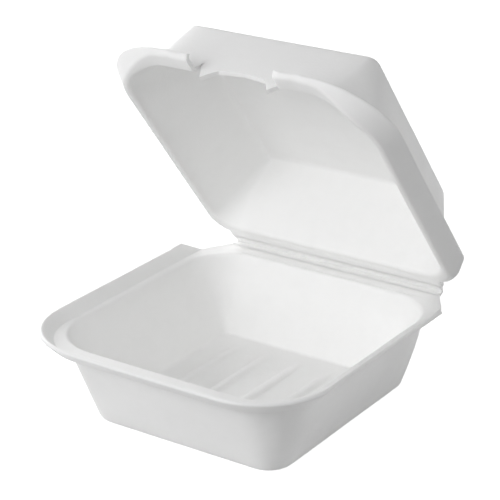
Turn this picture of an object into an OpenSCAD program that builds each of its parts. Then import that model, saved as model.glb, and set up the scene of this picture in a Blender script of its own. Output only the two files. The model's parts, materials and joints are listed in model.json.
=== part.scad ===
// Hinged clamshell food box of expanded polystyrene sheet: a tray and a domed lid joined by a crushed hinge.
// The box stands on its base at the origin, its hinge runs along X at the back, and the lid is drawn half open.

/* [Tray] */
// Width of the tray's base
base_w = 100; // [80:1:130]
// Depth of the tray's base, front to back
base_d = 107; // [85:1:140]
// Radius of the base's corners
base_r = 10.5; // [8:0.5:20]
// Height of the rim's ledge above the table
tray_h = 41; // [25:1:60]
// How far each wall leans out between base and ledge
flare = 13.2; // [6:0.2:18]
// Thickness of the foam sheet
sheet = 2; // [1.6:0.1:2.4]
// Bend radius between base and wall, in the middle of the sheet
base_bend = 4; // [2.5:0.5:7]

/* [Floor ribs] */
// Number of raised ribs along the floor
rib_count = 5; // [1:1:6]
// Distance between two ribs
rib_pitch = 17.5; // [12:0.5:18]
// Width of a rib at the floor
rib_w = 6.4; // [5.8:0.2:8]
// Height of a rib above the floor
rib_h = 1.4; // [0.8:0.1:1.8]
// Distance of a rib's ends from the base's front and back edges
rib_inset = 11; // [9:0.5:20]

/* [Rim] */
// Distance from the tray's opening to the foot of the lip
lip_foot = 3.5; // [3.4:0.1:5]
// How far the lip leans out from its foot
lip_out = 5.5; // [3.5:0.1:7]
// How far the lip rises above the ledge
lip_up = 5.5; // [3.5:0.1:7]
// Bend radius of the rim, in the middle of the sheet
rim_bend = 1.5; // [1.3:0.1:1.6]
// Extra width of the ledge along the tray's front
front_extra = 5.4; // [3:0.2:8]
// Extra radius of the tray's lip at the front corners
lip_corner_extra = 2; // [0:0.5:3]
// Gap between the two rims when the lid is shut
rim_gap = 0.3; // [0.3:0.05:0.6]
// Distance from the hinge to the upper end of the tray's lip
lip_end_top = 30.6; // [26:0.2:40]
// Distance from the hinge to the lower end of the tray's lip
lip_end_foot = 20; // [17:0.2:24]

/* [Lid] */
// Height of the lid's dome above its ledge
lid_h = 39; // [20:1:55]
// How far the dome's walls lean in between ledge and top
lid_inset = 14.4; // [8:0.2:18]
// Bend radius between dome wall and top, in the middle of the sheet
top_bend = 4; // [2.5:0.5:7]
// How far the lid's lip reaches past the tray's lip
lid_lip_past = 0.5; // [0:0.1:1.5]
// Distance from the hinge to the upper end of the lid's lip
lid_end_top = 27.6; // [24:0.2:36]
// Distance from the hinge to the lower end of the lid's lip
lid_end_foot = 11.6; // [10:0.2:16]
// Angle at which the lid stands open
lid_open = 51; // [5:1:120]

/* [Hinge] */
// Length of the hinge
hinge_l = 115; // [90:1:120]
// Width of the ledge between the rear wall and the hinge
rear_ledge = 9.4; // [7:0.2:14]
// Width of the band crushed thin beside the hinge
crush_w = 3; // [2:0.2:4]
// Radius of the crushed bead on the hinge line
bead_r = 0.8; // [0.6:0.1:1]
// Gap between the bead and the lid's edge
hinge_gap = 0.3; // [0.1:0.05:0.4]

/* [Front cut-out] */
// Width of the cut-out in the lid's front rim
cut_w = 44; // [36:1:56]
// Distance between the tips of the two ears
ear_span = 34.6; // [28:0.2:38]
// Width of an ear at its root
ear_w = 10.4; // [6:0.2:12]
// Height of the ear tips above the lid's ledge
ear_tip = 2.4; // [0.6:0.1:4]
// Height of the edge beside the arch between the ears
arch_foot = 8.8; // [6:0.2:10]
// Height of the crown of the arch
arch_crown = 10.2; // [8:0.2:12]
// Radius of the corners along the cut edge
ear_r = 1.2; // [0.6:0.1:1.4]
// Distance from the cut-out to the upper end of the crease beside it
crease_gap = 11.5; // [8:0.5:13]
// How far a crease leans towards the cut-out
crease_lean = 5; // [2:0.5:6]
// Width of a crease
crease_w = 3; // [2:0.2:4]
// Depth of a crease
crease_deep = 0.8; // [0.4:0.1:1]

/* [Hidden] */
$fn = 48;
BEND_STEPS = 4;
CAP_STEPS = 4;
// Overlap that joins pieces of one sheet
JOIN = 0.3;
// Shift of the sheet's middle at a bend, per unit of thickness
BEND_SHIFT = 0.35;
// Sine of a turn too slight to round
STRAIGHT = 0.001;
// Reach of the flat tab that a swept wall or lip carries into the ledge
TAB = 0.35;
half_w = base_w / 2;
half_d = base_d / 2;
open_w = half_w + flare;
open_d = half_d + flare;
open_r = base_r + flare;
hinge_y = open_d + rear_ledge;
hinge_z = tray_h + rim_gap / 2;
lip_angle = atan2(lip_up, lip_out);
lid_foot = lip_foot - (sheet + rim_gap) * tan(lip_angle / 2);
lid_out = lip_foot + lip_out + lid_lip_past - lid_foot;
lid_up = lid_out * lip_up / lip_out;
ledge_start = BEND_SHIFT * sheet + rim_bend * tan(45 - atan2(flare, tray_h) / 2);
lip_reach = rim_bend * tan(lip_angle / 2);
rib_r = (rib_w * rib_w / 4 + rib_h * rib_h) / (2 * rib_h);
rib_l = base_d - 2 * rib_inset;
crease_r = (crease_w * crease_w / 4 + crease_deep * crease_deep) / (2 * crease_deep);
corner_x = hinge_l / 2;
far = 2 * (base_w + base_d);

function unit(v) = v / norm(v);

function left_of(v) = [-v.y, v.x];

// Bend of a sheet at corner b on the way from a to c: pairs of a point and its left-hand normal
function bend(a, b, c, r) =
    let (
        to_a = unit(a - b),
        to_c = unit(c - b),
        half = acos(to_a * to_c) / 2,
        turn = sign(cross(b - a, c - b)),
        middle = b + unit(to_a + to_c) * r / sin(half),
        first = b + to_a * r / tan(half) - middle,
        start = atan2(first.y, first.x)
    )
    [
        for (i = [0 : BEND_STEPS])
            let (
                angle = start + turn * (180 - 2 * half) * i / BEND_STEPS,
                ray = [cos(angle), sin(angle)]
            )
            [middle + r * ray, -turn * ray]
    ];

// Points round a corner, or the corner alone where the path runs straight on
function rounded_corner(a, b, c, r) =
    abs(cross(unit(b - a), unit(c - b))) < STRAIGHT ? [b] : [for (p = bend(a, b, c, r)) p[0]];

// Path with its inner corners rounded
function rounded_path(points, r) =
    concat(
        [points[0]],
        [
            for (i = [1 : len(points) - 2])
                each rounded_corner(points[i - 1], points[i], points[i + 1], r)
        ],
        [points[len(points) - 1]]
    );

// Straight end of a sheet: the point and the left-hand normal on the way from a to b
function sheet_end(point, a, b) = [[point, left_of(unit(b - a))]];

// Rounded edge of a sheet that ends at a point with a left-hand normal
function edge_cap(last) =
    let (start = atan2(last[1].y, last[1].x))
    [
        for (i = [1 : CAP_STEPS - 1])
            let (angle = start - 180 * i / CAP_STEPS)
            last[0] + sheet / 2 * [cos(angle), sin(angle)]
    ];

// Outline of a sheet along a path of points with normals
function sheet_outline(path, rounded) =
    concat(
        [for (p = path) p[0] + p[1] * sheet / 2],
        rounded ? edge_cap(path[len(path) - 1]) : [],
        [for (i = [len(path) - 1 : -1 : 0]) path[i][0] - path[i][1] * sheet / 2]
    );

// Section of a wall between a level panel and a ledge, rising from the panel
module wall_section(lean, height, panel_bend) {
    panel = [-panel_bend * 2, sheet / 2];
    low = [-BEND_SHIFT * sheet, sheet / 2];
    high = [lean + BEND_SHIFT * sheet, height - sheet / 2];
    tab = [lean + ledge_start + TAB + JOIN, height - sheet / 2];
    path = concat(
        sheet_end(panel, panel, low),
        bend(panel, low, high, panel_bend),
        bend(low, high, tab, rim_bend),
        sheet_end(tab, high, tab)
    );
    polygon(sheet_outline(path, false));
}

// Section of a lip from its tab in the ledge to its rounded edge, measured from the foot
module lip_section(out, up) {
    tab = [-lip_reach - TAB - JOIN, -sheet / 2];
    foot = [0, -sheet / 2];
    edge = [out, up - sheet / 2];
    path = concat(
        sheet_end(tab, tab, foot),
        bend(tab, foot, edge, rim_bend),
        sheet_end(edge, foot, edge)
    );
    polygon(sheet_outline(path, true));
}

// Rounded rectangle in the plane
module rounded_plate(half_x, front, back, r) {
    translate([-half_x + r, front])
        square([2 * half_x - 2 * r, back - front]);
    translate([-half_x, front + r])
        square([2 * half_x, back - front - 2 * r]);
    for (x = [-half_x + r, half_x - r], y = [front + r, back - r])
        translate([x, y])
            circle(r);
}

// A section carried round the front and along both sides, with round corners
module front_frame(half_x, front, back, r) {
    for (side = [0, 1])
        mirror([side, 0, 0]) {
            translate([half_x, back, 0])
                rotate([90, 0, 0])
                    linear_extrude(back - front - r)
                        children();
            translate([half_x - r, front + r, 0])
                rotate([0, 0, -90])
                    rotate_extrude(angle = 90)
                        translate([r, 0])
                            children();
        }
    rotate([0, 0, -90])
        translate([-front, half_x - r, 0])
            rotate([90, 0, 0])
                linear_extrude(2 * half_x - 2 * r)
                    children();
}

// A section carried all round the box
module full_frame(half_x, half_y, r) {
    for (turn = [0, 180])
        rotate([0, 0, turn])
            front_frame(half_x, -half_y, 0, r)
                children();
}

// Flat ledge round the opening, narrowed towards the hinge
module ledge_plan(foot, extra, corner_extra, end_foot) {
    edge = foot - lip_reach - TAB + JOIN;
    lip_y = hinge_y - end_foot;
    corner_y = hinge_y - end_foot / 2;
    r = open_r + foot + corner_extra - (foot - edge);
    difference() {
        intersection() {
            rounded_plate(open_w + edge, -open_d - edge - extra, far, r);
            translate([-far / 2, -far])
                square([far, far + hinge_y - crush_w]);
            union() {
                translate([-far / 2, -far])
                    square([far, far + lip_y]);
                polygon([
                    [-open_w - foot, lip_y - JOIN],
                    [open_w + foot, lip_y - JOIN],
                    [open_w + foot, lip_y],
                    [corner_x, corner_y],
                    [corner_x, hinge_y],
                    [-corner_x, hinge_y],
                    [-corner_x, corner_y],
                    [-open_w - foot, lip_y]
                ]);
            }
        }
        inner = ledge_start + TAB - JOIN;
        rounded_plate(open_w + inner, -open_d - inner, open_d + inner, open_r + inner);
    }
}

// Lip round the front and sides, cut off on a slope before the hinge
module lip(foot, out, up, extra, corner_extra, end_top, end_foot) {
    tip = up + sheet;
    slope = (end_top - end_foot) / up;
    lip_y = hinge_y - end_foot;
    difference() {
        front_frame(
            open_w + foot,
            -open_d - foot - extra,
            lip_y,
            open_r + foot + corner_extra
        )
            lip_section(out, up);
        translate([-far / 2, 0, 0])
            rotate([90, 0, 90])
                linear_extrude(far)
                    polygon([
                        [lip_y, 0],
                        [lip_y - slope * tip, tip],
                        [hinge_y, tip],
                        [hinge_y, 0]
                    ]);
    }
}

// Level panel that closes a wall frame
module panel(lean_start, thick_edge) {
    linear_extrude(sheet)
        rounded_plate(
            half_w + lean_start - thick_edge,
            -half_d - lean_start + thick_edge,
            half_d + lean_start - thick_edge,
            base_r + lean_start - thick_edge
        );
}

// Rib along the floor with round ends, of a given radius about the rib's own axis
module rib(r) {
    reach = rib_l / 2 - rib_w / 2;
    rotate([90, 0, 0])
        cylinder(h = 2 * reach, r = r, center = true);
    for (y = [-reach, reach])
        translate([0, y, 0])
            sphere(r);
}

module ribs(r) {
    for (i = [0 : rib_count - 1])
        translate([(i - (rib_count - 1) / 2) * rib_pitch, 0, sheet + rib_h - rib_r])
            rib(r);
}

// Ribs as they stand above the underside of the floor
module raised_ribs() {
    intersection() {
        ribs(rib_r);
        translate([-half_w, -half_d, sheet / 2])
            cube([base_w, base_d, sheet + rib_h]);
    }
}

// Thin crushed band between the rear ledge and the hinge line
module hinge_web(low, high) {
    translate([-corner_x, hinge_y - crush_w - JOIN, low])
        cube([hinge_l, crush_w + JOIN, high - low]);
}

module hinge_rod(r) {
    translate([0, hinge_y, hinge_z])
        rotate([0, 90, 0])
            cylinder(h = hinge_l, r = r, center = true);
}

module tray() {
    color("White")
        difference() {
            union() {
                panel(0, base_bend);
                full_frame(half_w, half_d, base_r)
                    wall_section(flare, tray_h, base_bend);
                translate([0, 0, tray_h - sheet])
                    linear_extrude(sheet)
                        ledge_plan(lip_foot, front_extra, lip_corner_extra, lip_end_foot);
                translate([0, 0, tray_h])
                    lip(lip_foot, lip_out, lip_up, front_extra, lip_corner_extra, lip_end_top, lip_end_foot);
                raised_ribs();
                hinge_web(hinge_z - bead_r, tray_h);
                hinge_rod(bead_r);
            }
            ribs(rib_r - sheet);
        }
}

// Lid lying shut on the tray
module shut_lid() {
    top_r = base_r + flare - lid_inset;
    difference() {
        union() {
            translate([0, 0, tray_h + rim_gap + lid_h])
                mirror([0, 0, 1]) {
                    panel(flare - lid_inset, top_bend);
                    full_frame(open_w - lid_inset, open_d - lid_inset, top_r)
                        wall_section(lid_inset, lid_h, top_bend);
                }
            translate([0, 0, tray_h + rim_gap])
                linear_extrude(sheet)
                    ledge_plan(lid_foot, 0, 0, lid_end_foot);
            translate([0, 0, tray_h + rim_gap + sheet])
                lip(lid_foot, lid_out, lid_up, 0, 0, lid_end_top, lid_end_foot);
            hinge_web(tray_h + rim_gap, hinge_z + bead_r);
        }
        hinge_rod(bead_r + hinge_gap);
        translate([0, 0, tray_h + rim_gap]) {
            front_cut();
            lip_creases();
        }
    }
}

// Cut-out in the lid's front: the rim goes, and the wall's edge is left with two ears and an arch between
module front_cut() {
    wall_y = open_d + sheet;
    lean = lid_inset / lid_h;
    ear_x = ear_span / 2;
    reach = open_d / 2;
    top = max(arch_crown, lid_up + 2 * sheet);
    edge = [
        [cut_w / 2, arch_crown],
        [ear_x, ear_tip],
        [ear_x - ear_w / 2, arch_foot],
        [ear_x - ear_w, (arch_foot + arch_crown) / 2],
        [0, arch_crown],
        [-ear_x + ear_w, (arch_foot + arch_crown) / 2],
        [-ear_x + ear_w / 2, arch_foot],
        [-ear_x, ear_tip],
        [-cut_w / 2, arch_crown]
    ];
    translate([-cut_w / 2, 0, 0])
        rotate([90, 0, 90])
            linear_extrude(cut_w)
                polygon([
                    [-wall_y - lean * sheet, -sheet],
                    [-wall_y + lean * top, top],
                    [-far, top],
                    [-far, -sheet]
                ]);
    translate([0, -reach, 0])
        rotate([90, 0, 0])
            linear_extrude(far)
                polygon(concat(
                    [[-cut_w / 2, -sheet], [cut_w / 2, -sheet]],
                    rounded_path(edge, ear_r)
                ));
}

// Creases pressed into the lid's front lip, one on each side of the cut-out
module lip_creases() {
    slant = norm([lid_out, lid_up]);
    for (side = [0, 1])
        mirror([side, 0, 0])
            translate([
                cut_w / 2 + crease_gap - crease_lean,
                -open_d - lid_foot - sheet / 2 * tan(lip_angle / 2),
                0
            ])
                rotate([90 - lip_angle, 0, 0])
                    translate([0, crease_deep - crease_r, 0])
                        rotate([0, atan2(crease_lean, slant), 0])
                            translate([0, 0, -sheet])
                                cylinder(h = 2 * slant, r = crease_r);
}

module lid() {
    color("WhiteSmoke")
        translate([0, hinge_y, hinge_z])
            rotate([-lid_open, 0, 0])
                translate([0, -hinge_y, -hinge_z])
                    shut_lid();
}

tray();
lid();
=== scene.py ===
import json
import math

import bmesh
import bpy
from bpy.props import FloatProperty, FloatVectorProperty, IntProperty, PointerProperty
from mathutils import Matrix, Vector


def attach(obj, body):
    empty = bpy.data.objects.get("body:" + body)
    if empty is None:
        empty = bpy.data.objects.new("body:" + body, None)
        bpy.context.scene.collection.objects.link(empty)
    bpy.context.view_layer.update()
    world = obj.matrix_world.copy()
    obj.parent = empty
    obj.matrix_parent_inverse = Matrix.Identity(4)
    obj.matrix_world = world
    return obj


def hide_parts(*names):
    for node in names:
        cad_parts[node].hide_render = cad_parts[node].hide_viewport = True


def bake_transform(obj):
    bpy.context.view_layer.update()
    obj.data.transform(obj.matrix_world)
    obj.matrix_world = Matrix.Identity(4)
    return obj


bl_info = {
    "name": "Foam clamshell food box",
    "version": (1, 0, 0),
    "blender": (4, 5, 0),
    "location": "View3D > Sidebar > Foam box",
    "description": "Presses a hinged food box out of foam sheet, on the frame of its CAD model",
    "category": "Mesh",
}

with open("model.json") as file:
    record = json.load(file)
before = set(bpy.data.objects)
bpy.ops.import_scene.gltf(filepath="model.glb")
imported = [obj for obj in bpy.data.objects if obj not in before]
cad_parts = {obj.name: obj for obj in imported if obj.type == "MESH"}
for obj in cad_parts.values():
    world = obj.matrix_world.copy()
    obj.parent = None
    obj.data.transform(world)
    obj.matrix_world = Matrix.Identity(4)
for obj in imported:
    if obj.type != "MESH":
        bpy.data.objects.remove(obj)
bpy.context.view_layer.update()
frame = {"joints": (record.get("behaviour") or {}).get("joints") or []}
HINGE = Vector(frame["joints"][0]["pos_m"])
MM = 0.001
# Places of the mesh count as the same within this distance, and rows within the second
NEAR = 0.01 * MM
NEAR_ROW = 10 * NEAR
# Steps of a bend, and shift of the sheet's middle at a bend for each unit of thickness
BEND_STEPS = 6
BEND_SHIFT = 0.35
# Steps of a round corner seen from above, and cuts along each straight side between two
CORNER_STEPS = 14
SIDE_CUTS = 39
# A face with more corners than this is the panel that is still to be pressed
FEW_CORNERS = 8
# Pieces that a wall and the two lips are divided into from edge to edge
WALL_PIECES = 9
TRAY_LIP_PIECES = 3
LID_LIP_PIECES = 2
# A lip leans at 45 degrees, and this is the tangent of half that angle
LIP_TANGENT = math.tan(math.pi / 8)
# Edges past the first angle look sharp, and those of the rims past the second are rounded
SMOOTH_ANGLE = math.radians(60)
RIM_ANGLE = math.radians(50)
RIM_STEPS = 4
# Half width of the lines that border the hinge band
BORDER_HALF = 1 * MM
# Width of the waves in the walls of tray and lid, how much wider they are along Y, and their height
TRAY_WAVES = 55 * MM
LID_WAVES = 60 * MM
WAVE_STRETCH = 1.13
WAVE_HEIGHT = 0.5 * MM
# Steps across half a rib and along each fading end, and how often such an end goes into its length
RIB_STEPS = 4
RIB_ENDS = 5
# The strip of the hinge: columns, and length that its rows spread over before they are placed
STRIP_COLUMNS = 40
STRIP_SPREAD = 1.0
# How far the strip runs in at each ledge, how much thinner it is there, and how far it is proud
STRIP_TUCK = 1.5 * MM
STRIP_THIN = 0.1 * MM
STRIP_PROUD = 0.04 * MM
# Rows of the strip from its ledge to the crease: share of the crushed band, and of the thickness
STRIP_ROWS = ((1.0, 1.0), (0.75, 0.8), (0.45, 0.55), (0.2, 0.42))
# The crease itself: how far behind the hinge line, and share of the thickness
CREASE_BACK = 0.35 * MM
CREASE_SHARE = 0.4
# Studio: side of the floor in metres, light of the paper for the camera, and of the surround
FLOOR_SIDE = 8
PAPER_GLOW = 0.85
SURROUND_LIGHT = 0.04
# Softboxes: side, the place they face, and name, place in metres and watts of each
LAMP_SIDE = 0.7
LAMP_AIM = Vector((0, 0, 0.07))
LAMPS = (
    ("key_softbox", (-0.35, -1.05, 0.5), 5.8),
    ("front_softbox", (0.0, -0.85, 0.85), 4.4),
    ("left_softbox", (-1.0, 0.5, 0.5), 9.6),
    ("right_softbox", (1.0, 0.5, 0.35), 3.9),
)
# The photograph's view, fitted to the edges that it shows
VIEW_AZIMUTH = math.radians(33.86)
VIEW_ELEVATION = math.radians(22.04)
VIEW_TARGET = Vector((-11.17, 17.76, 66.25)) * MM
VIEW_DISTANCE = 885.4
VIEW_LENS = 140.05
VIEW_SENSOR = 36


def length(name, text, millimetres):
    """A length that shows in the sidebar, given in millimetres."""
    return FloatProperty(
        name=name, description=text, default=millimetres * MM, unit="LENGTH", precision=5
    )


def factor(name, text, value):
    """A share of another size that shows in the sidebar."""
    return FloatProperty(name=name, description=text, default=value, subtype="FACTOR")


def linear(hex_colour):
    """Linear colour, with alpha, of an sRGB hex value."""
    parts = [int(hex_colour[i : i + 2], 16) / 255 for i in (0, 2, 4)]
    return [c / 12.92 if c <= 0.04045 else ((c + 0.055) / 1.055) ** 2.4 for c in parts] + [1.0]


def colour(name, text, hex_colour):
    """A colour that shows in the sidebar, given as an sRGB hex value."""
    return FloatVectorProperty(
        name=name, description=text, default=linear(hex_colour), size=4, subtype="COLOR"
    )


class FoamBoxSizes(bpy.types.PropertyGroup):
    """Sizes of the sheet and its two pressings"""

    sheet: length("Sheet", "Thickness of the foam sheet", 2)
    open_w: length("Opening, half width", "From the middle to the top of a side wall", 63.2)
    open_d: length("Opening, half depth", "From the middle to the top of the front wall", 66.7)
    open_r: length("Opening corner", "Corner radius at the top of the walls", 24.7)
    rim_edge: length("Rim edge", "Radius along the cut edge of the rims", 0.85)
    tray_h: length("Tray height", "Height of the tray's ledge above the table", 41)
    flare: length("Tray flare", "How far each tray wall leans out", 13.2)
    base_bend: length("Base bend", "Bend radius between base and wall", 3)
    rim_bend: length("Rim bend", "Bend radius of ledge and lip", 1.5)
    lip_foot: length("Tray lip foot", "From the opening to the foot of the tray's lip", 3.5)
    lip_out: length("Tray lip reach", "How far the tray's lip leans out", 5.5)
    lip_up: length("Tray lip height", "How far the tray's lip rises above the ledge", 5.5)
    front_extra: length("Front ledge", "Extra width of the ledge along the tray's front", 5.4)
    lip_end_top: length("Tray lip end, top", "From hinge to upper end of the tray's lip", 30.6)
    lip_end_foot: length("Tray lip end, foot", "From hinge to lower end of the tray's lip", 20)
    lid_end_top: length("Lid lip end, top", "From hinge to upper end of the lid's lip", 27.6)
    lid_end_foot: length("Lid lip end, foot", "From hinge to lower end of the lid's lip", 11.6)
    rear_corner: factor("Rear corners", "Rear radius at floor and dome's top, to the front's", 0.35)
    rim_corner: factor("Rear rim corners", "Rear radius of both rims, to the front's", 0.5)
    top_corner: factor("Top corners", "Front radius at the dome's top, to an even wall's", 0.4)
    border_deep: length("Hinge border", "Depth of the line that borders the hinge band", 0.5)
    rib_count: IntProperty(name="Ribs", description="Number of ribs along the floor", default=5)
    rib_pitch: length("Rib pitch", "Distance between two ribs", 17.5)
    rib_w: length("Rib width", "Width of a rib at the floor", 6.4)
    rib_h: length("Rib height", "Height of a rib above the floor", 1.8)
    rib_l: length("Rib length", "Length of a rib", 90)
    lid_h: length("Lid height", "Height of the dome above its ledge", 39)
    lid_inset: length("Lid inset", "How far the dome's walls lean in", 14.4)
    top_bend: length("Top bend", "Bend radius between dome wall and top", 3.5)
    lid_foot: length("Lid lip foot", "From the opening to the foot of the lid's lip", 2.55)
    lid_out: length("Lid lip reach", "How far the lid's lip leans out, and rises", 6.95)
    rim_gap: length("Rim gap", "Gap between the rims when the lid is shut", 0.3)
    hinge_l: length("Hinge length", "Length of the crushed line", 115)
    rear_in: length("Rear wall", "How far the rear walls' tops stand in", 3.5)
    crush_w: length("Crushed band", "Width of the band pressed thin beside the line", 3)
    cut_w: length("Cut-out", "Width of the cut-out in the lid's front rim", 44)
    ear_span: length("Ear span", "Distance between the tips of the two ears", 34.6)
    ear_w: length("Ear width", "Width of an ear at its root", 10.4)
    ear_tip: length("Ear tip", "Height of the ear tips above the lid's ledge", 2.4)
    arch_foot: length("Arch foot", "Height of the edge beside the arch", 8.8)
    arch_crown: length("Arch crown", "Height of the crown of the arch", 10.2)
    front_lift: length("Front lift", "How far the lid's ledge rises along the front", 5)
    front_out: length("Front foot", "How far the lip's foot moves out along the front", 5.4)
    crease_gap: length("Crease place", "From the cut-out to a crease's upper end", 11.5)
    crease_lean: length("Crease lean", "How far a crease leans towards the cut-out", 5)
    crease_w: length("Crease width", "Width of a crease", 6)
    crease_deep: length("Crease depth", "Depth of a crease", 0.45)
    lid_open: FloatProperty(
        name="Lid angle",
        description="Angle at which the lid stands open",
        default=math.radians(51),
        subtype="ANGLE",
    )


class FoamBoxColours(bpy.types.PropertyGroup):
    """Colours of the foam and of the studio"""

    foam: colour("Foam", "Colour of the foam's skin", "FAFAF9")
    hollow: colour("Foam hollows", "Colour of the foam where its cells lie open", "F7F7F6")
    paper: colour("Studio paper", "Colour of the floor", "CCCCCC")


def add_node(tree, kind, settings=(), **links):
    """Adds a node, sets its values and links its inputs."""
    node = tree.nodes.new(kind)
    for key, value in dict(settings).items():
        if hasattr(node, key):
            setattr(node, key, value)
        else:
            node.inputs[key].default_value = value
    for key, source in links.items():
        tree.links.new(source, node.inputs[key.replace("_", " ")])
    return node


def new_material(name):
    """An empty node material and its tree."""
    material = bpy.data.materials.new(name)
    material.use_nodes = True
    material.node_tree.nodes.clear()
    return material, material.node_tree


def foam_material(name, colours):
    """Pressed polystyrene foam: a white satin skin over fine closed cells, with a faint mottle.

    The cells of such sheet are about 0.3 mm wide, which a picture of the whole box can't show,
    so they are drawn 1.3 mm wide. The mottle is about 14 mm across.
    """
    cell, mottle = 1.3 * MM, 14 * MM
    material, tree = new_material(name)
    place = add_node(tree, "ShaderNodeTexCoord").outputs["Object"]
    cells = add_node(
        tree, "ShaderNodeTexVoronoi", {"feature": "SMOOTH_F1", "Scale": 1 / cell}, Vector=place
    )
    clouds = add_node(
        tree,
        "ShaderNodeTexNoise",
        {"Scale": 1 / mottle, "Detail": 4.0, "Roughness": 0.55},
        Vector=place,
    )
    # A mix node has its colours on sockets 6 and 7, and gives the mixed colour on 2
    tone = add_node(tree, "ShaderNodeMix", {"data_type": "RGBA"})
    tone.inputs[6].default_value = colours.hollow
    tone.inputs[7].default_value = colours.foam
    shade = add_node(
        tree,
        "ShaderNodeMapRange",
        {"From Min": 0.35, "From Max": 0.65, "To Min": 0.0, "To Max": 1.0},
        Value=clouds.outputs["Fac"],
    )
    tree.links.new(shade.outputs["Result"], tone.inputs[0])
    gloss = add_node(
        tree,
        "ShaderNodeMapRange",
        {"From Min": 0.3, "From Max": 0.7, "To Min": 0.5, "To Max": 0.4},
        Value=clouds.outputs["Fac"],
    )
    swell = add_node(
        tree,
        "ShaderNodeBump",
        {"Strength": 0.15, "Distance": 0.3 * MM},
        Height=clouds.outputs["Fac"],
    )
    skin = add_node(
        tree,
        "ShaderNodeBump",
        {"Strength": 0.35, "Distance": 0.1 * MM},
        Height=cells.outputs["Distance"],
        Normal=swell.outputs["Normal"],
    )
    foam = add_node(
        tree,
        "ShaderNodeBsdfPrincipled",
        {
            "IOR": 1.45,
            "Specular IOR Level": 0.3,
            "Subsurface Weight": 1.0,
            "Subsurface Radius": (1, 1, 1),
            "Subsurface Scale": 2 * MM,
        },
        Base_Color=tone.outputs[2],
        Roughness=gloss.outputs["Result"],
        Normal=skin.outputs["Normal"],
    )
    add_node(tree, "ShaderNodeOutputMaterial", Surface=foam.outputs["BSDF"])
    return material


def seen_directly(tree):
    """1 for a ray from the camera, a mirror or clear glass, 0 for light that falls on the box."""
    path = add_node(tree, "ShaderNodeLightPath")
    seen = path.outputs["Is Camera Ray"]
    for kind in ("Is Glossy Ray", "Is Transmission Ray"):
        both = add_node(tree, "ShaderNodeMath", {"operation": "MAXIMUM"})
        tree.links.new(seen, both.inputs[0])
        tree.links.new(path.outputs[kind], both.inputs[1])
        seen = both.outputs[0]
    return seen


def paper_material(colours):
    """Matte white studio paper that the camera sees at full white, with the box's shadow on it."""
    material, tree = new_material("matte_studio_paper")
    paper = add_node(tree, "ShaderNodeBsdfDiffuse", {"Color": colours.paper})
    glow = add_node(tree, "ShaderNodeEmission", {"Color": (1, 1, 1, 1), "Strength": PAPER_GLOW})
    both = add_node(tree, "ShaderNodeAddShader")
    tree.links.new(paper.outputs[0], both.inputs[0])
    tree.links.new(glow.outputs[0], both.inputs[1])
    mix = add_node(tree, "ShaderNodeMixShader", Fac=seen_directly(tree))
    tree.links.new(paper.outputs[0], mix.inputs[1])
    tree.links.new(both.outputs[0], mix.inputs[2])
    add_node(tree, "ShaderNodeOutputMaterial", Surface=mix.outputs[0])
    return material


def start_piece(name):
    """Names the new primitive and opens it for editing."""
    piece = bpy.context.active_object
    piece.name = name
    piece.data.name = name
    bpy.ops.object.mode_set(mode="EDIT")
    return piece


def pick(kind, test):
    """Selects the vertices, edges or faces of the open mesh whose middle passes a test."""
    bpy.ops.mesh.select_mode(type=kind)
    bpy.ops.mesh.select_all(action="DESELECT")
    mesh = bpy.context.edit_object.data
    shape = bmesh.from_edit_mesh(mesh)
    found = 0
    items = {"VERT": shape.verts, "EDGE": shape.edges, "FACE": shape.faces}[kind]
    for item in items:
        if kind == "VERT":
            middle = item.co
        elif kind == "EDGE":
            middle = (item.verts[0].co + item.verts[1].co) / 2
        else:
            middle = item.calc_center_median()
        if test(middle, item):
            item.select_set(True)
            found += 1
    bmesh.update_edit_mesh(mesh)
    if not found:
        raise RuntimeError("no " + kind.lower() + " was found where the next step needs one")


def cut(test, point, normal):
    """Cuts the faces that pass a test along a plane."""
    pick("FACE", test)
    bpy.ops.mesh.bisect(plane_co=point, plane_no=normal, threshold=NEAR / 10)


def cut_off(test, point, normal):
    """Cuts the faces that pass a test along a plane, and deletes those on the normal's side."""
    cut(test, point, normal)
    pick("FACE", lambda m, f: test(m, f) and (m - Vector(point)).dot(Vector(normal)) > 0)
    bpy.ops.mesh.delete(type="FACE")


def bent_path(points, radii):
    """Path through corner points, with each inner corner bent to its radius."""
    path = [points[0]]
    for before, corner, after, radius in zip(points, points[1:], points[2:], radii):
        back, on = (before - corner).normalized(), (after - corner).normalized()
        half = back.angle(on) / 2
        middle = corner + (back + on).normalized() * radius / math.sin(half)
        first = corner + back * radius / math.tan(half) - middle
        last = corner + on * radius / math.tan(half) - middle
        turn = first.angle_signed(last)
        for i in range(BEND_STEPS + 1):
            angle = -turn * i / BEND_STEPS
            c, s = math.cos(angle), math.sin(angle)
            path.append(middle + Vector((c * first.x - s * first.y, s * first.x + c * first.y)))
    return path + [points[-1]]


def divided(path, index, pieces):
    """The same path with one of its straight stretches divided."""
    a, b = path[index], path[index + 1]
    return path[: index + 1] + [a.lerp(b, i / pieces) for i in range(1, pieces)] + path[index + 1 :]


def press(path):
    """Presses the selected face along a path of offset and height, one inset for each step."""
    for a, b in zip(path, path[1:]):
        bpy.ops.mesh.inset(thickness=a.x - b.x, depth=b.y - a.y, use_even_offset=True)


def is_panel(face):
    """True of the level face that is still to be pressed: all others have few corners."""
    return len(face.verts) > FEW_CORNERS


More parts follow.
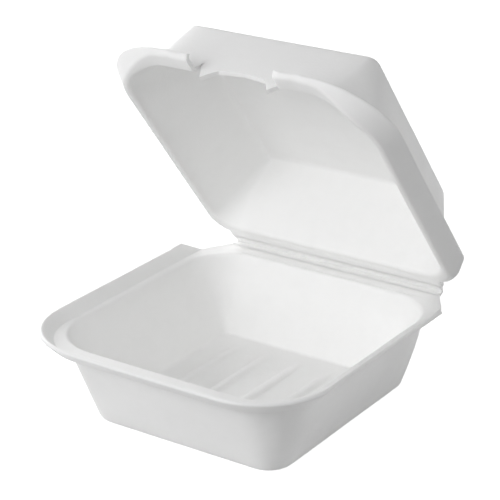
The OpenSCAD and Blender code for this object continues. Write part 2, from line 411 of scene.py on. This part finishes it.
def start_sheet(name, half_x, front, back, radius, height):
    """A flat rounded sheet at a height, its straight edges divided evenly."""
    bpy.ops.object.select_all(action="DESELECT")
    bpy.ops.mesh.primitive_plane_add(size=2)
    piece = start_piece(name)
    bpy.ops.mesh.select_all(action="SELECT")
    bpy.ops.transform.resize(value=(half_x, (back - front) / 2, 1))
    bpy.ops.transform.translate(value=(0, (back + front) / 2, height))
    bpy.ops.mesh.select_mode(type="VERT")
    bpy.ops.mesh.bevel(
        offset=radius,
        segments=CORNER_STEPS,
        affect="VERTICES",
        profile=0.5,
        clamp_overlap=False,
    )
    pick("EDGE", lambda m, e: e.calc_length() > radius)
    bpy.ops.mesh.subdivide(number_cuts=SIDE_CUTS)
    bpy.ops.mesh.select_mode(type="FACE")
    bpy.ops.mesh.select_all(action="SELECT")
    return piece


def offset_of(sizes, place, share=1):
    """Distance of a place outside the walls' upper outline, seen from above; negative inside.

    A share below 1 counts with corners drawn out to that share of their radius.
    """
    r, rest = share * sizes.open_r, 1 - share
    x, y = abs(place.x) - sizes.open_w, abs(place.y) - sizes.open_d
    straight = max(x, y)
    if min(x, y) + r < rest * straight:
        return straight
    x, y = x + r, y + r
    a, b = 2 * rest**2 - share**2, rest * (x + y) + share * r
    return (b - math.sqrt(b * b - a * (x * x + y * y - r * r))) / a


def on_row(sizes, row, m, share=1):
    """True of a place on one pressed row, given by its offset and height."""
    return abs(m.z - row.y) < NEAR and abs(offset_of(sizes, m, share) - row.x) < NEAR_ROW


def tighten(sizes, path, share, hand_y):
    """Draws the round corners of each row out into their tips, in front (-1) or behind (1)."""
    start_x, start_y = sizes.open_w - sizes.open_r, sizes.open_d - sizes.open_r
    for row in path:
        for hand_x in (-1, 1):
            pick(
                "VERT",
                lambda m, v: hand_x * m.x > start_x - NEAR
                and hand_y * m.y > start_y - NEAR
                and on_row(sizes, row, m),
            )
            tip = (hand_x * (sizes.open_w + row.x), hand_y * (sizes.open_d + row.x), row.y)
            bpy.ops.transform.resize(value=(share(row), share(row), 1), center_override=tip)


def draw_forward(sizes, path, share, amount):
    """Moves the rear of each row forward, and with it the rear ends of its sides."""
    for row in path:
        pick("VERT", lambda m, v: m.y > NEAR and on_row(sizes, row, m, share(row)))
        shrink = 1 - amount(row) / sizes.open_d
        bpy.ops.transform.resize(value=(1, shrink, 1), center_override=(0, 0, row.y))


def along_wall(row, inset, rim, far):
    """A row's value between two: the first at the rim, the second where the wall ends."""
    return rim + (far - rim) * min(max(-row.x / inset, 0), 1)


def trim_rear(sizes, level, foot, up, end_top, end_foot, border):
    """Cuts the lip off on a slope before the hinge and runs the ledge on to the crushed band.

    A line across the ledge, behind the wall's bend, borders the band.
    """
    run = end_top - end_foot
    lip_y = HINGE.y - end_foot + run / up * sizes.sheet / 2
    side = sizes.open_w + foot
    corner = Vector((sizes.hinge_l / 2, HINGE.y - sizes.crush_w, level))
    lip_start = foot - sizes.rim_bend * LIP_TANGENT
    wall_y = sizes.open_d - sizes.rear_in

    def on_lip(m, f):
        return m.y > 0 and offset_of(sizes, m, sizes.rim_corner) > lip_start

    def on_rear_ledge(m, f):
        return m.y > lip_y - NEAR and abs(m.z - level) < NEAR

    def on_band(m, f):
        return m.y > wall_y and abs(m.z - level) < NEAR

    cut_off(on_lip, (0, lip_y, level), (0, up, run))
    pick("EDGE", lambda m, e: e.is_boundary and on_rear_ledge(m, e))
    bpy.ops.mesh.extrude_edges_move()
    bpy.ops.transform.resize(value=(1, 0, 1), center_override=corner)
    for hand in (-1, 1):
        chamfer = (hand * (corner.y - lip_y), side - corner.x, 0)
        cut_off(on_rear_ledge, (hand * side, lip_y, level), chamfer)
    border_y = wall_y + sizes.rim_bend + 2 * BEND_SHIFT * sizes.sheet
    for side_y in (-BORDER_HALF, 0, BORDER_HALF):
        cut(on_band, (0, border_y + side_y, level), (0, 1, 0))
    end = sizes.open_w - sizes.rim_corner * sizes.open_r
    pick(
        "VERT",
        lambda m, v: on_band(m, v) and abs(m.y - border_y) < NEAR and abs(m.x) < end,
    )
    bpy.ops.transform.translate(value=(0, 0, border))


def waver(piece, size):
    """Lets walls and lips waver a little, as pressed foam does; level faces stay level."""
    for axis, stretch in (("X", 1.0), ("Y", WAVE_STRETCH)):
        clouds = bpy.data.textures.new(piece.name + "_waver_" + axis.lower(), "CLOUDS")
        clouds.noise_scale = size * stretch
        clouds.noise_depth = 1
        modifier = piece.modifiers.new("waver_" + axis.lower(), "DISPLACE")
        modifier.texture = clouds
        modifier.texture_coords = "LOCAL"
        modifier.direction = axis
        modifier.strength = WAVE_HEIGHT
        bpy.ops.object.modifier_apply(modifier=modifier.name)


def thicken(piece, sheet):
    """Gives the sheet its thickness, thinner where the piece has a group of vertices for that."""
    solid = piece.modifiers.new("sheet", "SOLIDIFY")
    solid.thickness = sheet
    solid.offset = 0
    if piece.vertex_groups:
        solid.vertex_group = piece.vertex_groups[0].name
    bpy.ops.object.modifier_apply(modifier=solid.name)
    bpy.ops.object.shade_smooth_by_angle(angle=SMOOTH_ANGLE)


def round_rim(rim_edge, test):
    """Rounds the rim's cut edge where a place passes a test."""
    bpy.ops.object.mode_set(mode="EDIT")
    pick("EDGE", lambda m, e: e.is_manifold and e.calc_face_angle() > RIM_ANGLE and test(m))
    bpy.ops.mesh.bevel(offset=rim_edge, segments=RIM_STEPS, affect="EDGES")
    bpy.ops.object.mode_set(mode="OBJECT")


def finish_piece(context, piece):
    """Gives a finished piece its foam."""
    name = "pressed_polystyrene_foam"
    material = bpy.data.materials.get(name) or foam_material(name, context.scene.foam_box_colours)
    piece.data.materials.clear()
    piece.data.materials.append(material)


def raise_by(test, height):
    """Raises each vertex that passes a test by a height that depends on its place."""
    shape = bmesh.from_edit_mesh(bpy.context.edit_object.data)
    levels = {round(height(v.co) / NEAR) for v in shape.verts if test(v.co, v)}
    for level in sorted(levels - {0}):
        pick("VERT", lambda m, v: test(m, v) and round(height(m) / NEAR) == level)
        bpy.ops.transform.translate(value=(0, 0, level * NEAR))


def raise_ribs(s, floor):
    """Divides the floor along the ribs and raises them in a soft wave with soft ends."""
    shares = [i / RIB_STEPS for i in range(RIB_STEPS + 1)]
    end = s.rib_l / RIB_ENDS
    tip = s.rib_l / 2
    middles = [(i - (s.rib_count - 1) / 2) * s.rib_pitch for i in range(s.rib_count)]
    on_floor = lambda m, f: abs(m.z - floor) < NEAR
    for middle in middles:
        for share in shares:
            for x in {middle - share * s.rib_w / 2, middle + share * s.rib_w / 2}:
                cut(on_floor, (x, 0, floor), (1, 0, 0))
    for share in shares:
        for y in (tip - share * end, share * end - tip):
            cut(on_floor, (0, y, floor), (0, 1, 0))

    def rise(m):
        across = min(abs(m.x - middle) for middle in middles) / (s.rib_w / 2)
        along = (tip - abs(m.y)) / end
        if across >= 1 or along <= 0:
            return 0
        wave = math.cos(math.pi / 2 * across) ** 2
        return s.rib_h * wave * math.sin(math.pi / 2 * min(along, 1)) ** 2

    raise_by(on_floor, rise)


class FOAMBOX_OT_tray(bpy.types.Operator):
    """Press the tray: lip, ledge, walls and ribbed floor"""

    bl_idname = "foam_box.tray"
    bl_label = "Tray"

    def execute(self, context):
        s = context.scene.foam_box_sizes
        floor = s.sheet / 2
        ledge = s.tray_h - floor
        reach = s.lip_foot + s.lip_out
        piece = start_sheet(
            "tray_shell",
            s.open_w + reach,
            -s.open_d - reach - s.front_extra,
            s.open_d + reach,
            s.open_r + reach,
            ledge + s.lip_up,
        )
        # Offsets along the path count from the walls' upper outline
        wall_foot = Vector((-s.flare - BEND_SHIFT * s.sheet, floor))
        wall_top = Vector((BEND_SHIFT * s.sheet, ledge))
        lip_edge = Vector((reach, ledge + s.lip_up))
        lip = bent_path([lip_edge, Vector((s.lip_foot, ledge)), wall_top], [s.rim_bend])[:-1]
        lip_rows = divided(lip, 0, TRAY_LIP_PIECES)
        floor_end = wall_foot - Vector((2 * s.base_bend, 0))
        wall = bent_path([lip[-1], wall_top, wall_foot, floor_end], [s.rim_bend, s.base_bend])
        press(lip_rows)
        press(wall[:2])
        # The panel's front moves in by the extra width of the ledge, so that the opening is even
        corner_y = s.open_r - s.open_d - s.front_extra
        on_panel = lambda m, v: any(is_panel(f) for f in v.link_faces)
        pick("VERT", lambda m, v: on_panel(m, v) and corner_y - NEAR < m.y < 0)
        bpy.ops.transform.resize(
            value=(1, 1 + s.front_extra / corner_y, 1), center_override=(0, 0, ledge)
        )
        pick("VERT", lambda m, v: on_panel(m, v) and m.y < corner_y - NEAR)
        bpy.ops.transform.translate(value=(0, s.front_extra, 0))
        pick("FACE", lambda m, f: is_panel(f))
        wall = divided(wall[1:], BEND_STEPS, WALL_PIECES)
        press(wall)
        tighten(s, lip_rows, lambda row: s.rim_corner, 1)
        rear_share = lambda row: along_wall(row, s.flare, 1, s.rear_corner)
        tighten(s, wall, rear_share, 1)
        draw_forward(s, wall, rear_share, lambda row: along_wall(row, s.flare, s.rear_in, 0))
        raise_ribs(s, floor)
        trim_rear(s, ledge, s.lip_foot, s.lip_up, s.lip_end_top, s.lip_end_foot, -s.border_deep)
        bpy.ops.object.mode_set(mode="OBJECT")
        waver(piece, TRAY_WAVES)
        thicken(piece, s.sheet)
        round_rim(s.rim_edge, lambda m: m.y < HINGE.y - s.lip_end_top - s.sheet)
        finish_piece(context, piece)
        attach(piece, "tray")
        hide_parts("tray")
        return {"FINISHED"}


class FOAMBOX_OT_lid(bpy.types.Operator):
    """Press the lid shut on the tray, cut out its front, and swing it open"""

    bl_idname = "foam_box.lid"
    bl_label = "Lid"

    def execute(self, context):
        s = context.scene.foam_box_sizes
        under = s.tray_h + s.rim_gap
        ledge = under + s.sheet / 2
        top = under + s.lid_h - s.sheet / 2
        reach = s.lid_foot + s.lid_out
        piece = start_sheet(
            "lid_shell",
            s.open_w + reach,
            -s.open_d - reach,
            s.open_d + reach,
            s.open_r + reach,
            ledge + s.lid_out,
        )
        wall_foot = Vector((BEND_SHIFT * s.sheet, ledge))
        wall_top = Vector((-s.lid_inset - BEND_SHIFT * s.sheet, top))
        lip_edge = Vector((reach, ledge + s.lid_out))
        lip_foot = Vector((s.lid_foot, ledge))
        top_end = wall_top - Vector((2 * s.top_bend, 0))
        path = bent_path(
            [lip_edge, lip_foot, wall_foot, wall_top, top_end],
            [s.rim_bend, s.rim_bend, s.top_bend],
        )
        path = divided(divided(path, 2 * BEND_STEPS + 2, WALL_PIECES), 0, LID_LIP_PIECES)
        press(path)
        rear_share = lambda row: along_wall(row, s.lid_inset, s.rim_corner, s.rear_corner)
        tighten(s, path, rear_share, 1)
        # The rows before these are the lip's: its pieces and its bend
        wall = path[LID_LIP_PIECES + BEND_STEPS + 1 :]
        draw_forward(s, wall, rear_share, lambda row: along_wall(row, s.lid_inset, s.rear_in, 0))
        crown = ledge + s.arch_crown
        dome = [row for row in path if row.y > crown]
        front_share = lambda row: 1 - (1 - s.top_corner) * (row.y - crown) / (top - crown)
        tighten(s, dome, front_share, -1)
        self.cut_front(s, under)
        self.lift_front(s, path, ledge)
        self.crease_lip(s)
        trim_rear(s, ledge, s.lid_foot, s.lid_out, s.lid_end_top, s.lid_end_foot, s.border_deep)
        bpy.ops.object.mode_set(mode="OBJECT")
        waver(piece, LID_WAVES)
        thicken(piece, s.sheet)
        past_cut = s.cut_w / 2 + s.sheet
        lip_end = HINGE.y - s.lid_end_top - s.sheet
        round_rim(s.rim_edge, lambda m: m.y < lip_end and (abs(m.x) > past_cut or m.y > 0))
        bpy.ops.object.mode_set(mode="EDIT")
        bpy.ops.mesh.select_all(action="SELECT")
        bpy.ops.transform.rotate(value=s.lid_open, orient_axis="X", center_override=HINGE)
        bpy.ops.object.mode_set(mode="OBJECT")
        finish_piece(context, piece)
        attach(piece, "lid")
        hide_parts("lid")
        return {"FINISHED"}

    def cut_front(self, s, under):
        """Takes the rim away in the middle of the front and leaves two ears and an arch."""
        side, tip = s.cut_w / 2, s.ear_span / 2
        half = [
            (0, s.arch_crown),
            (tip - s.ear_w, (s.arch_foot + s.arch_crown) / 2),
            (tip - s.ear_w / 2, s.arch_foot),
            (tip, s.ear_tip),
            (side, s.arch_crown),
        ]
        both = [(-x, z) for x, z in half[:0:-1]] + half
        edge = [Vector((x, under + z)) for x, z in both]
        # Well above the arch, and past both sides of the cut-out
        high, wide = under + 1.5 * s.arch_crown, side + s.sheet

        def in_front(m, f):
            return m.y < -s.open_d / 2 and abs(m.x) < wide and m.z < high

        def below_edge(m):
            (x0, z0), (x1, z1) = next(ends for ends in zip(edge, edge[1:]) if m.x <= ends[1][0])
            return m.z < z0 + (z1 - z0) * (m.x - x0) / (x1 - x0)

        for corner in edge:
            cut(in_front, (corner.x, 0, 0), (1, 0, 0))
        for (x0, z0), (x1, z1) in zip(edge, edge[1:]):
            on_stretch = lambda m, f: in_front(m, f) and x0 < m.x < x1
            cut(on_stretch, (x0, 0, z0), (z1 - z0, 0, x0 - x1))
        rim_start = BEND_SHIFT * s.sheet + s.rim_bend
        in_gap = lambda m, f: in_front(m, f) and abs(m.x) < side - NEAR
        pick("FACE", lambda m, f: in_gap(m, f) and (offset_of(s, m) > rim_start or below_edge(m)))
        bpy.ops.mesh.delete(type="FACE")

    def lift_front(self, s, path, ledge):
        """Lifts the ledge along the front beside the cut-out, so that the lip is short there."""
        side, start = s.cut_w / 2, s.open_w - s.open_r
        tangent = s.rim_bend * LIP_TANGENT
        bend_start, bend_end = s.lid_foot - tangent, s.lid_foot + tangent / math.sqrt(2)
        # The lip moves more towards its foot, its bend as a whole, and the wall less and less
        for row in path[1:]:
            part = min(1, (path[0].x - row.x) / (path[0].x - bend_end))
            out = s.front_out * part if row.x > bend_start - NEAR else 0
            up = s.front_lift * (part if out else max(0, 1 - (row.y - ledge) / s.arch_crown))
            if up < NEAR:
                continue
            pick("VERT", lambda m, v: m.y < 0 and abs(m.x) > side - NEAR and on_row(s, row, m))
            bpy.ops.mesh.hide(unselected=True)
            pick("VERT", lambda m, v: not v.hide and m.y < -start and abs(m.x) < start + NEAR)
            bpy.ops.transform.translate(
                value=(0, -out, up),
                use_proportional_edit=True,
                proportional_edit_falloff="SMOOTH",
                proportional_size=s.open_r,
            )
            bpy.ops.mesh.reveal(select=False)

    def crease_lip(self, s):
        """Presses a slanted crease into the front lip on each side of the cut-out."""
        top = s.cut_w / 2 + s.crease_gap
        middle, reach = top - s.crease_lean / 2, s.crease_lean + s.crease_w

        def on_lip(m, f):
            return m.y < -s.open_d - s.lid_foot and abs(abs(m.x) - middle) < reach

        for hand in (-1, 1):
            across = Vector((hand * s.lid_out, s.crease_lean, 0)).normalized()
            place = Vector((hand * top, -s.open_d - s.lid_foot - s.lid_out, 0))
            here = lambda m, f: on_lip(m, f) and m.x * hand > 0

            def depth(m):
                share = abs((m - place).dot(across)) / (s.crease_w / 2)
                return s.crease_deep * math.cos(math.pi / 2 * share) ** 2 if share < 1 else 0

            raise_by(here, depth)


class FOAMBOX_OT_hinge(bpy.types.Operator):
    """Crush the line that the lid swings on"""

    bl_idname = "foam_box.hinge"
    bl_label = "Hinge"

    def execute(self, context):
        s = context.scene.foam_box_sizes
        half_open = s.lid_open / 2
        fold = Vector((-math.cos(half_open), math.sin(half_open)))
        half = s.sheet / 2 - STRIP_THIN
        face = s.rim_gap / 2 - STRIP_PROUD
        shares = [(s.crush_w + STRIP_TUCK, 1.0)]
        shares += [(part * s.crush_w, share) for part, share in STRIP_ROWS]
        # The visible face runs level to the crease, and the sheet thins from behind
        leg = [(Vector((-before, -face - half * share)), share) for before, share in shares]
        crease = (-fold * CREASE_BACK, CREASE_SHARE)
        other = [(2 * p.dot(fold) * fold - p, share) for p, share in reversed(leg)]
        rows = leg + [crease] + other
        bpy.ops.object.select_all(action="DESELECT")
        bpy.ops.mesh.primitive_grid_add(
            x_subdivisions=STRIP_COLUMNS, y_subdivisions=len(rows) - 1, size=1
        )
        piece = start_piece("hinge_crease")
        bpy.ops.mesh.select_all(action="SELECT")
        bpy.ops.transform.resize(value=(s.hinge_l, STRIP_SPREAD, 1))
        for i, (place, _) in enumerate(rows):
            y = STRIP_SPREAD * (i / (len(rows) - 1) - 0.5)
            pick("VERT", lambda m, v: abs(m.y - y) < NEAR and abs(m.z) < NEAR)
            bpy.ops.transform.translate(value=(0, HINGE.y + place.x - y, HINGE.z + place.y))
        bpy.ops.object.mode_set(mode="OBJECT")
        thickness = piece.vertex_groups.new(name="thickness")
        per_row = len(piece.data.vertices) // len(rows)
        for i, (_, share) in enumerate(rows):
            thickness.add(range(i * per_row, (i + 1) * per_row), share, "REPLACE")
        thicken(piece, 2 * half)
        finish_piece(context, piece)
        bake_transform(piece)
        return {"FINISHED"}


class FOAMBOX_OT_stage(bpy.types.Operator):
    """Set the paper floor, the soft lights and the camera"""

    bl_idname = "foam_box.stage"
    bl_label = "Studio"

    def execute(self, context):
        scene = context.scene
        bpy.ops.object.select_all(action="DESELECT")
        bpy.ops.mesh.primitive_plane_add(size=FLOOR_SIDE)
        floor = context.active_object
        floor.name = "studio_floor"
        floor.data.materials.append(paper_material(scene.foam_box_colours))
        world = bpy.data.worlds.new("studio_surround")
        world.use_nodes = True
        tree = world.node_tree
        tree.nodes.clear()
        soft, white = (
            add_node(tree, "ShaderNodeBackground", {"Color": (1, 1, 1, 1), "Strength": strength})
            for strength in (SURROUND_LIGHT, 1.0)
        )
        mix = add_node(tree, "ShaderNodeMixShader", Fac=seen_directly(tree))
        tree.links.new(soft.outputs[0], mix.inputs[1])
        tree.links.new(white.outputs[0], mix.inputs[2])
        add_node(tree, "ShaderNodeOutputWorld", Surface=mix.outputs[0])
        scene.world = world
        for name, place, power in LAMPS:
            add_lamp(name, place, power)
        add_camera(scene)
        scene.view_settings.view_transform = "Standard"
        return {"FINISHED"}


def add_lamp(name, place, power):
    """A square softbox that faces the middle of the box."""
    bpy.ops.object.light_add(type="AREA", location=place)
    lamp = bpy.context.active_object
    lamp.name = name
    lamp.data.size = LAMP_SIDE
    lamp.data.energy = power
    aim = LAMP_AIM - Vector(place)
    lamp.rotation_euler = aim.to_track_quat("-Z", "Y").to_euler()


def add_camera(scene):
    """The photograph's view: a long lens from the front right, a little above."""
    level = math.cos(VIEW_ELEVATION)
    back = Vector(
        (
            math.sin(VIEW_AZIMUTH) * level,
            -math.cos(VIEW_AZIMUTH) * level,
            math.sin(VIEW_ELEVATION),
        )
    )
    bpy.ops.object.camera_add(location=VIEW_TARGET + back * VIEW_DISTANCE * MM)
    camera = bpy.context.active_object
    camera.name = "photo_view"
    camera.rotation_euler = (-back).to_track_quat("-Z", "Y").to_euler()
    camera.data.lens = VIEW_LENS
    camera.data.sensor_width = VIEW_SENSOR
    scene.camera = camera


class FOAMBOX_PT_panel(bpy.types.Panel):
    """Sizes, colours and pieces of the foam box"""

    bl_idname = "FOAMBOX_PT_panel"
    bl_label = "Foam clamshell box"
    bl_space_type = "VIEW_3D"
    bl_region_type = "UI"
    bl_category = "Foam box"

    def draw(self, context):
        column = self.layout.column()
        for operator in OPERATORS:
            column.operator(operator.bl_idname)
        for group in (context.scene.foam_box_sizes, context.scene.foam_box_colours):
            for key in group.bl_rna.properties.keys():
                if key not in {"rna_type", "name"}:
                    column.prop(group, key)


OPERATORS = (FOAMBOX_OT_tray, FOAMBOX_OT_lid, FOAMBOX_OT_hinge, FOAMBOX_OT_stage)
CLASSES = (FoamBoxSizes, FoamBoxColours, *OPERATORS, FOAMBOX_PT_panel)


def register():
    for cls in CLASSES:
        bpy.utils.register_class(cls)
    bpy.types.Scene.foam_box_sizes = PointerProperty(type=FoamBoxSizes)
    bpy.types.Scene.foam_box_colours = PointerProperty(type=FoamBoxColours)


def unregister():
    del bpy.types.Scene.foam_box_colours
    del bpy.types.Scene.foam_box_sizes
    for cls in reversed(CLASSES):
        bpy.utils.unregister_class(cls)


def main():
    register()
    bpy.ops.foam_box.tray()
    bpy.ops.foam_box.lid()
    bpy.ops.foam_box.hinge()
    bpy.ops.foam_box.stage()


if __name__ == "__main__":
    main()
